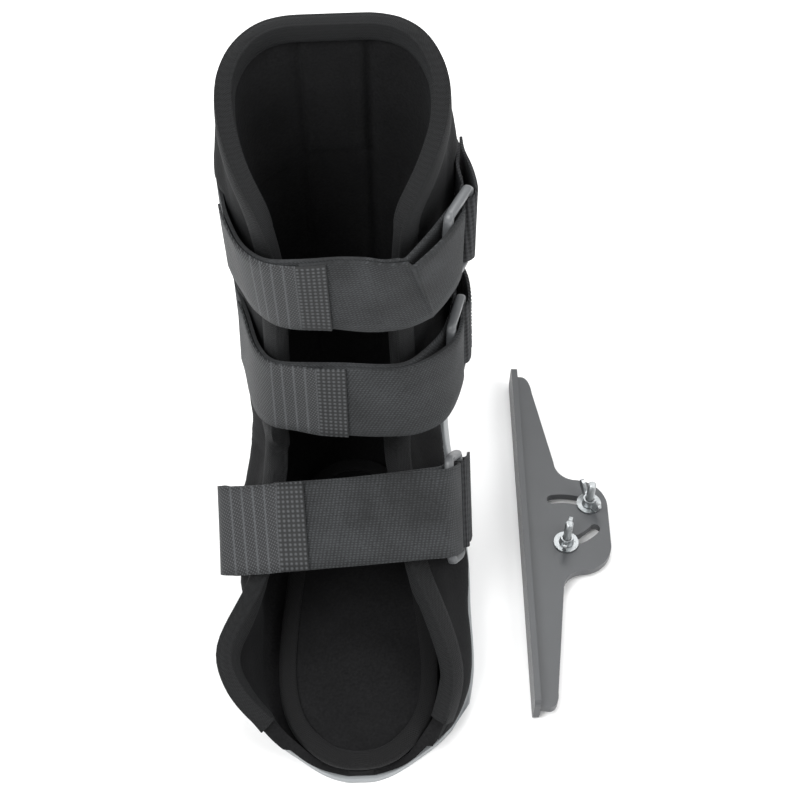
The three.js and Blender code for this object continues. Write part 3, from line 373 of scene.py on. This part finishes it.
def lay_pattern(bm, start, across):
    """UVs in metres: along the piece from its end at start, and across it."""
    def off_end(vert):
        away = vert.co - start
        return (away - across * away.dot(across)).length
    nearest = min(map(off_end, bm.verts))
    ends = [v for v in bm.verts if off_end(v) < nearest + END_ROW]
    far = {v: 0.0 for v in ends}
    queue = [(0.0, v.index, v) for v in ends]
    while queue:
        reach, _, vert = heapq.heappop(queue)
        if reach > far[vert]:
            continue
        for edge in vert.link_edges:
            other = edge.other_vert(vert)
            longer = reach + edge.calc_length()
            if longer < far.get(other, math.inf):
                far[other] = longer
                heapq.heappush(queue, (longer, other.index, other))
    layer = bm.loops.layers.uv.verify()
    for face in bm.faces:
        for loop in face.loops:
            loop[layer].uv = (far.get(loop.vert, 0.0), loop.vert.co.dot(across))


# Stitching
STITCH_LENGTH = 2.3 * MM
STITCH_PITCH = 2.8 * MM
STITCH_THICK = 0.75 * MM
STITCH_PROUD = 0.2
SEW_INSET = 5 * MM
SEW_SLICE = 0.996
SEW_RAY = 0.2
# The plan centre that the calf bands bend round
EYE = Vector((0, 8 * MM, 0))
# A sewn box with a cross in it, as shares of its width and height; None lifts the needle
BOX_AND_CROSS = ((0, 0), (1, 0), (1, 1), (0, 1), (0, 0), (1, 1), None, (1, 0), (0, 1))


def stitch_row(bm, hits):
    """Adds a row of stitches: a small spindle laid on the cloth between each two places."""
    for (place, normal), (ahead, _) in zip(hits, hits[1:]):
        run = (ahead - place).normalized()
        side = normal.cross(run).normalized()
        turn = Matrix((run, side, run.cross(side))).transposed().to_4x4()
        size = Matrix.Diagonal((STITCH_LENGTH / 2, STITCH_THICK / 2, STITCH_THICK / 2, 1))
        spot = Matrix.Translation((place + ahead) / 2 + normal * STITCH_THICK * STITCH_PROUD)
        bmesh.ops.create_icosphere(bm, subdivisions=1, radius=1, matrix=spot @ turn @ size)


def sewn_box(bm, cloth, low_turn, high_turn):
    """Sews a box with a cross on a calf band, between two plan angles in degrees round EYE."""
    tree = BVHTree.FromPolygons([v.co for v in cloth.vertices],
                                [p.vertices for p in cloth.polygons])

    def edge_heights(out):
        near = [v.co.z for v in cloth.vertices
                if (v.co - EYE - UP * v.co.z).normalized().dot(out) > SEW_SLICE]
        return min(near), max(near)

    def on_cloth(share, rise):
        turn = math.radians(low_turn + (high_turn - low_turn) * share)
        out = Vector((math.cos(turn), math.sin(turn), 0))
        low, high = edge_heights(out)
        height = low + SEW_INSET + (high - low - 2 * SEW_INSET) * rise
        place, normal, _, _ = tree.ray_cast(EYE + out * SEW_RAY + UP * height, -out, SEW_RAY)
        return place, normal

    for first, last in zip(BOX_AND_CROSS, BOX_AND_CROSS[1:]):
        if first is None or last is None:
            continue
        length = (on_cloth(*last)[0] - on_cloth(*first)[0]).length
        steps = max(2, round(length / STITCH_PITCH))
        stitch_row(bm, [on_cloth(first[0] + (last[0] - first[0]) * i / steps,
                                 first[1] + (last[1] - first[1]) * i / steps)
                        for i in range(steps + 1)])


# Shell: rim and corners rounded by subdivision
shell = rounded(solid_copy("shell"), levels=2, crease_from=55)
finished(shell, "moulded_shell", SHELL, "shell")

# Liner: foam under knit, with sewn channels down the calf and soft creases. Each crease has its
# middle, its run and how far it reaches each way.
CHANNELS = (-18 * MM, 18 * MM)
CHANNEL_DEPTH = 2.8 * MM
CHANNEL_WIDTH = 4.0 * MM
CREASES = (
    (Vector((0, 0.050, 0.245)), Vector((1, 0, 0.0)), 26 * MM),
    (Vector((-0.036, 0.030, 0.236)), Vector((1, -0.6, 0.35)), 20 * MM),
    (Vector((0.040, 0.026, 0.232)), Vector((1, 0.6, -0.4)), 24 * MM),
)
CREASE_DEPTH = 1.9 * MM
CREASE_WIDTH = 2.8 * MM
CREASE_NEAR = 0.02
# The calf's lining lies above and behind these, and faces the shin by more than this
LINING_FROM_Z = 0.075
LINING_FROM_Y = 0.012
LINING_FACING = 0.2
# The foam's ripples: their height, and how closely they come
RIPPLE, RIPPLE_PACE = 0.5 * MM, 32
FINE_RIPPLE, FINE_PACE = 0.22 * MM, 90


def quilt(bm):
    """Presses the sewn channels and creases into the lining, and lets the foam ripple a little."""
    bm.normal_update()
    for vert in bm.verts:
        co, normal = vert.co, vert.normal
        shift = RIPPLE * noise.noise(co * RIPPLE_PACE) + FINE_RIPPLE * noise.noise(co * FINE_PACE)
        towards_shin = max(-normal.y, 0) if co.y > LINING_FROM_Y else 0
        if co.z > LINING_FROM_Z and towards_shin > LINING_FACING:
            for channel in CHANNELS:
                off = (co.x - channel) / CHANNEL_WIDTH
                shift -= CHANNEL_DEPTH * towards_shin * math.exp(-(off ** 2))
            for middle, run, reach in CREASES:
                run = run.normalized()
                away = co - middle
                along = away.dot(run)
                aside = away - run * along
                if abs(along) < reach and aside.length < CREASE_NEAR:
                    fade = math.cos(along / reach * math.pi / 2)
                    off = aside.dot(UP) / CREASE_WIDTH
                    shift -= CREASE_DEPTH * fade * math.exp(-(off ** 2))
        vert.co = co + normal * shift


def tree_of(nodes):
    """A search tree over the solids of some nodes."""
    bm = bmesh.new()
    for node in nodes:
        bm.from_mesh(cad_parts[node].data)
    tree = BVHTree.FromBMesh(bm)
    bm.free()
    return tree


def ease(share):
    """0 to 1 with a soft start and end."""
    share = min(max(share, 0.0), 1.0)
    return share * share * (3 - 2 * share)


# The foam's roll over the shell's rim: how proud it stands, how far past the rim it rises and
# fades again, the gap it keeps to bands and rings, and how much slacker it gets at the toe
ROLL = 6.2 * MM
ROLL_RISE = 9 * MM
ROLL_FADE = 22 * MM
ROLL_FROM_Z = 12 * MM
ROLL_FACING = 0.2
WORN_GAP = 0.8 * MM
WALL_BEHIND = 12 * MM
TOE_SLACK = 0.4
TOE_FROM = 80 * MM
TOE_SPAN = 30 * MM


def roll_over_rim(bm):
    """Swells the padding outwards just past the shell's rim, so that it rolls over the edge as
    foam does."""
    rim = tree_of(["shell"])
    worn = tree_of([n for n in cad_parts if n.startswith(("top_", "middle_", "instep_"))])
    bm.normal_update()
    for vert in bm.verts:
        co, normal = vert.co, vert.normal
        if co.z < ROLL_FROM_Z or normal.x * co.x <= 0 or abs(normal.x) < ROLL_FACING:
            continue
        outward = Vector((normal.x, normal.y, 0)).normalized()
        reach = rim.find_nearest(co, ROLL_RISE + ROLL_FADE)[3]
        if reach is None or rim.ray_cast(co, outward, WALL_BEHIND)[0] is not None:
            continue
        fullness = 1 - TOE_SLACK * ease((-co.y - TOE_FROM) / TOE_SPAN)
        swell = (ROLL * fullness * abs(normal.x) * ease(reach / ROLL_RISE)
                 * (1 - ease((reach - ROLL_RISE) / ROLL_FADE)))
        ahead = worn.find_nearest(co, ROLL + WORN_GAP)[3]
        if ahead is not None:
            swell = min(swell, max(ahead - WORN_GAP, 0))
        vert.co = co + outward * swell


liner = rounded(solid_copy("liner"), levels=3, crease_from=70)
quilt(liner)
roll_over_rim(liner)
liner_piece = finished(liner, "padded_liner", KNIT, "liner")

# Bindings, each with its ribs laid from its end, and the footbed
LINER_TAPE_END = Vector((-0.045, -0.178, 0.02))
BED_TAPE_END = Vector((0, -0.2, 0.01))
edge_tape = solid_copy("liner_edge_tape")
lay_pattern(edge_tape, LINER_TAPE_END, UP)
edge_tape = rounded(edge_tape, levels=2, crease_from=85)
finished(edge_tape, "liner_binding", TAPE, "liner_edge_tape")

footbed = rounded(solid_copy("footbed"), levels=3, crease_from=60)
finished(footbed, "footbed_pad", KNIT, "footbed")
bed_tape = solid_copy("footbed_edge_tape")
lay_pattern(bed_tape, BED_TAPE_END, UP)
bed_tape = rounded(bed_tape, levels=2, crease_from=85)
finished(bed_tape, "footbed_binding", BED_TAPE, "footbed_edge_tape")

# Straps, hook tapes and the webbings that hold the rings. For each level, the end of strap and
# webbing, the loose end of the hook tape, and the way across the bands.
ACROSS_INSTEP = Vector((0, 1, 1)).normalized()
STRAP_ENDS = {
    "top": (Vector((0, 0.065, 0.237)), Vector((-0.006, -0.047, 0.235)), UP),
    "middle": (Vector((0, 0.065, 0.157)), Vector((0, -0.055, 0.157)), UP),
    "instep": (Vector((-0.068, -0.03, 0.03)), Vector((-0.025, -0.09, 0.094)), ACROSS_INSTEP),
}
BANDS = (("strap", WEBBING, "webbing"), ("hook_tape", HOOK, "hook"), ("webbing", RIBBED, "webbing"))
# Where each calf band is sewn down, between two plan angles in degrees
SEWN = {
    "top_strap": ((98, 116),),
    "top_webbing": ((64, 82), (-8, 8)),
    "middle_strap": ((98, 116),),
    "middle_webbing": ((64, 82), (-8, 8)),
}
for level, (seat, loose_end, across) in STRAP_ENDS.items():
    for part, material, slot_name in BANDS:
        node = f"{level}_{part}"
        band = solid_copy(node)
        lay_pattern(band, loose_end if part == "hook_tape" else seat, across)
        band = rounded(band, levels=3, crease_from=50)
        cloth = finished(band, f"{node}_cloth", material, node)
        if node in SEWN:
            stitches = bmesh.new()
            for turns in SEWN[node]:
                sewn_box(stitches, cloth.data, *turns)
            finished(stitches, f"{node}_stitching", THREAD)

for level in STRAP_ENDS:
    ring = rounded(solid_copy(f"{level}_ring"), levels=2, crease_from=75)
    finished(ring, f"{level}_strap_ring", ACETAL, f"{level}_ring")

# The bar keeps its solid. Screws, washers and wing nuts are rounded, and their corners sharper
# than this many degrees kept.
METAL_EDGE = 38
METALS = (("screw", THREADED, "bolt"), ("washer", ZINC, "bolt"), ("wing_nut", ZINC, "nut"))
bar_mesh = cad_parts["derotation_bar"].data
bar_mesh.materials.clear()
bar_mesh.materials.append(BAR)
for side in ("upper", "lower"):
    for part, material, body in METALS:
        node = f"{side}_{part}"
        metal = rounded(solid_copy(node), levels=2, crease_from=METAL_EDGE)
        piece = finished(metal, f"{node}_metal", material, node, f"{side}_{body}")
        piece.data.set_sharp_from_angle(angle=math.radians(METAL_EDGE))

place_camera()

# Floor and light. For each light, its place, what it aims at, its size in metres and its watts.
FLOOR_SIZE = 6
FLOOR_DROP = 0.2 * MM
WORLD_STRENGTH = 0.85
SOFTBOXES = {
    "key_softbox": ((-0.9, -1.0, 1.9), (0, 0, 0.12), 1.2, 34),
    "fill_softbox": ((1.3, -0.6, 1.4), (0, 0, 0.12), 1.2, 14),
    "top_softbox": ((0.1, 0.7, 1.9), (0, 0, 0.15), 1.0, 16),
}


def make_stage():
    """A pale paper floor, a hair below the part."""
    bm = bmesh.new()
    bmesh.ops.create_grid(bm, x_segments=1, y_segments=1, size=FLOOR_SIZE)
    bmesh.ops.translate(bm, verts=bm.verts, vec=(0, 0, -FLOOR_DROP))
    mesh = bpy.data.meshes.new("studio_floor")
    bm.to_mesh(mesh)
    bm.free()
    floor = bpy.data.objects.new("studio_floor", mesh)
    bpy.context.scene.collection.objects.link(floor)
    paper, tree, shader, place = new_material("studio paper", Roughness=0.9)
    grain = add(tree, "ShaderNodeTexNoise", {"Vector": place.outputs["Object"], "Scale": 3})
    mix = add(tree, "ShaderNodeMix", {SHARE: grain.outputs[0], COLOUR_A: linear("F4F4F4"),
                                     COLOUR_B: linear("F8F8F8")}, data_type="RGBA")
    drive(tree, shader, Base_Color=mix.outputs[MIXED_COLOUR])
    mesh.materials.append(paper)


def soft_light(name, place, aim, size, watts):
    data = bpy.data.lights.new(name, "AREA")
    data.shape = "DISK"
    data.size = size
    data.energy = watts
    light = bpy.data.objects.new(name, data)
    bpy.context.scene.collection.objects.link(light)
    light.location = place
    light.rotation_euler = (Vector(place) - Vector(aim)).to_track_quat("Z", "Y").to_euler()


make_stage()
world = bpy.data.worlds.new("studio")
bpy.context.scene.world = world
world.use_nodes = True
background = world.node_tree.nodes["Background"]
background.inputs["Color"].default_value = (1, 1, 1, 1)
background.inputs["Strength"].default_value = WORLD_STRENGTH
for name, (place, aim, size, watts) in SOFTBOXES.items():
    soft_light(name, place, aim, size, watts)
bpy.context.scene.view_settings.view_transform = "Standard"
